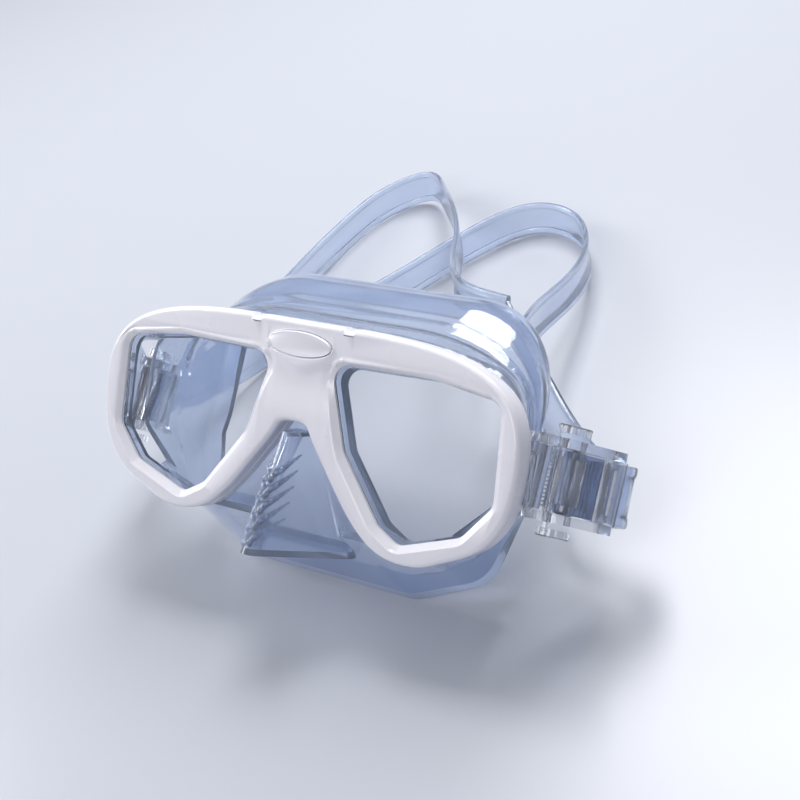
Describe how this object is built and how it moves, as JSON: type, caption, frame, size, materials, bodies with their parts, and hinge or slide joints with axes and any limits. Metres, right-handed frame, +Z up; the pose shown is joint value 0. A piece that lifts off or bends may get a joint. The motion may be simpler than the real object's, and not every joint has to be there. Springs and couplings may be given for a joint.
{
  "type": "diving mask",
  "caption": "Two-lens diving mask: white frame, flat glass lenses, soft skirt with nose pocket, swivelling strap buckles, split head strap.",
  "frame": {"origin": "centre of the outline on the floor the mask rests on", "axes": "+X towards the wearer's left buckle, +Y from the lenses towards the strap behind, +Z up from the floor"},
  "size_m": [0.1986, 0.2264, 0.0813],
  "materials": {
    "white_frame": "glossy white moulded plastic",
    "lens_glass": "clear tempered glass",
    "clear_silicone": "clear bluish silicone",
    "clear_hard": "clear hard plastic",
    "spring_steel": "stainless spring wire"
  },
  "bodies": {
    "mask_core": {"front_frame": "white_frame", "rear_frame": "white_frame", "bridge_badge": "white_frame", "lens_left": "lens_glass", "lens_right": "lens_glass", "skirt": "clear_silicone", "head_strap": "clear_silicone", "buckle_anchor_left": "clear_hard", "hinge_pin_left": "clear_hard", "buckle_anchor_right": "clear_hard", "hinge_pin_right": "clear_hard"},
    "buckle_left": {"buckle_body_left": "clear_hard", "roller_axle_left": "clear_hard", "pawl_pin_left": "clear_hard", "strap_end_left": "clear_silicone", "button_spring_left": "spring_steel"},
    "roller_left": {"strap_roller_left": "clear_hard"},
    "pawl_left": {"locking_pawl_left": "clear_hard"},
    "button_upper_left": {"release_button_upper_left": "clear_hard"},
    "button_lower_left": {"release_button_lower_left": "clear_hard"},
    "buckle_right": {"buckle_body_right": "clear_hard", "roller_axle_right": "clear_hard", "pawl_pin_right": "clear_hard", "strap_end_right": "clear_silicone", "button_spring_right": "spring_steel"},
    "roller_right": {"strap_roller_right": "clear_hard"},
    "pawl_right": {"locking_pawl_right": "clear_hard"},
    "button_upper_right": {"release_button_upper_right": "clear_hard"},
    "button_lower_right": {"release_button_lower_right": "clear_hard"}
  },
  "joints": [
    {"name": "buckle_swing_left", "type": "hinge", "parent": "mask_core", "child": "buckle_left", "pos_m": [0.08197, -0.06688, 0.0462], "axis": [0, 0.766, 0.6428], "range_deg": [-25, 25], "deforming": ["head_strap"]},
    {"name": "roller_spin_left", "type": "hinge", "parent": "buckle_left", "child": "roller_left", "pos_m": [0.08745, -0.05965, 0.03759], "axis": [0, 0.766, 0.6428], "continuous": true},
    {"name": "button_press_upper_left", "type": "slide", "parent": "buckle_left", "child": "button_upper_left", "axis": [0, -0.766, -0.6428], "range_m": [0, 0.0015], "stiffness_N_per_m": 300, "deforming": ["button_spring_left"]},
    {"name": "button_press_lower_left", "type": "slide", "parent": "buckle_left", "child": "button_lower_left", "axis": [0, 0.766, 0.6428], "range_m": [0, 0.0015], "stiffness_N_per_m": 300, "deforming": ["button_spring_left"]},
    {"name": "pawl_release_left", "type": "hinge", "parent": "buckle_left", "child": "pawl_left", "pos_m": [0.0864, -0.06426, 0.04308], "axis": [0, -0.766, -0.6428], "range_deg": [0, 15]},
    {"name": "buckle_swing_right", "type": "hinge", "parent": "mask_core", "child": "buckle_right", "pos_m": [-0.07103, -0.06688, 0.0462], "axis": [0, -0.766, -0.6428], "range_deg": [-25, 25], "deforming": ["head_strap"]},
    {"name": "roller_spin_right", "type": "hinge", "parent": "buckle_right", "child": "roller_right", "pos_m": [-0.07651, -0.05965, 0.03759], "axis": [0, 0.766, 0.6428], "continuous": true},
    {"name": "button_press_upper_right", "type": "slide", "parent": "buckle_right", "child": "button_upper_right", "axis": [0, -0.766, -0.6428], "range_m": [0, 0.0015], "stiffness_N_per_m": 300, "deforming": ["button_spring_right"]},
    {"name": "button_press_lower_right", "type": "slide", "parent": "buckle_right", "child": "button_lower_right", "axis": [0, 0.766, 0.6428], "range_m": [0, 0.0015], "stiffness_N_per_m": 300, "deforming": ["button_spring_right"]},
    {"name": "pawl_release_right", "type": "hinge", "parent": "buckle_right", "child": "pawl_right", "pos_m": [-0.07546, -0.06426, 0.04308], "axis": [0, 0.766, 0.6428], "range_deg": [0, 15]}
  ],
  "couplings": [
    {"joint": "button_press_lower_left", "follows": "button_press_upper_left", "ratio": 1},
    {"joint": "pawl_release_left", "follows": "button_press_upper_left", "rad_per_m": 174},
    {"joint": "button_press_lower_right", "follows": "button_press_upper_right", "ratio": 1},
    {"joint": "pawl_release_right", "follows": "button_press_upper_right", "rad_per_m": 174}
  ]
}
